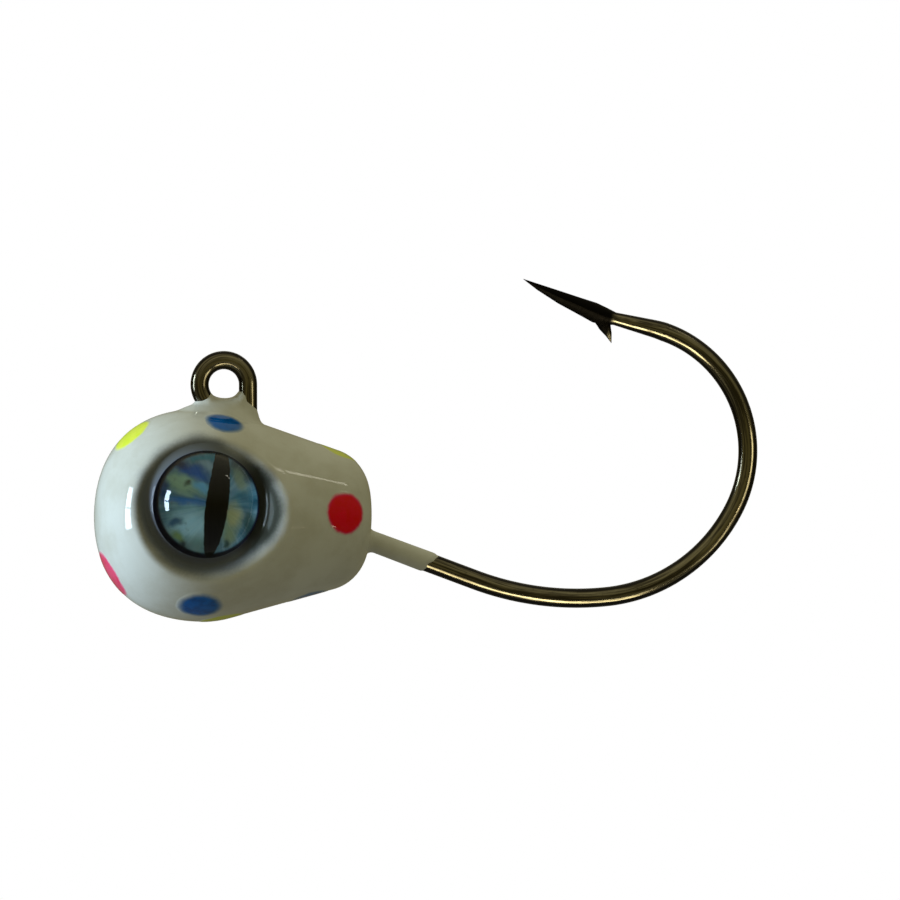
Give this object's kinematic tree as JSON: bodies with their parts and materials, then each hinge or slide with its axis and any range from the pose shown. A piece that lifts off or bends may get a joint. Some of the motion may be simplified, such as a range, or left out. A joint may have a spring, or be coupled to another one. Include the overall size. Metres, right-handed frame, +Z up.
{
  "type": "jig head",
  "caption": "Painted ball jig head cast on a barbed wide-gap hook, with a wire line tie on top and a domed cat eye on each side.",
  "frame": {"origin": "centre of the line-tie ring at the top of the head, in the hook's plane", "axes": "+X from the nose back towards the hook's bend, +Y towards the head's right side, +Z up through the line tie; the hook lies in the XZ plane"},
  "size_m": [0.0317, 0.0114, 0.0161],
  "materials": {
    "hook_wire": "polished",
    "cast_lead": "matte",
    "white_paint": "gloss",
    "clear_coat": "gloss",
    "blue_paint": "gloss",
    "red_paint": "gloss",
    "pink_paint": "gloss",
    "yellow_paint": "gloss",
    "grey_airbrush": "gloss",
    "eye_glue": "satin",
    "printed_foil": "gloss",
    "eye_dome": "polished",
    "gutter_epoxy": "gloss"
  },
  "bodies": {
    "root": {"hook": "hook_wire", "lead_head": "cast_lead", "white_base_coat": "white_paint", "clear_top_coat": "clear_coat", "dot_forehead": "yellow_paint", "dot_chin": "pink_paint", "dot_belly": "yellow_paint", "dot_belly_rear": "blue_paint", "dot_back": "yellow_paint", "dot_crown_left": "blue_paint", "dot_crown_right": "blue_paint", "dot_jowl_left": "blue_paint", "dot_jowl_right": "blue_paint", "dot_flank_left": "red_paint", "dot_flank_right": "red_paint", "left_eye_shading": "grey_airbrush", "left_eye_adhesive": "eye_glue", "left_eye_foil": "printed_foil", "left_eye_lens": "eye_dome", "left_eye_gutter_bead": "gutter_epoxy", "right_eye_shading": "grey_airbrush", "right_eye_adhesive": "eye_glue", "right_eye_foil": "printed_foil", "right_eye_lens": "eye_dome", "right_eye_gutter_bead": "gutter_epoxy"}
  },
  "joints": []
}
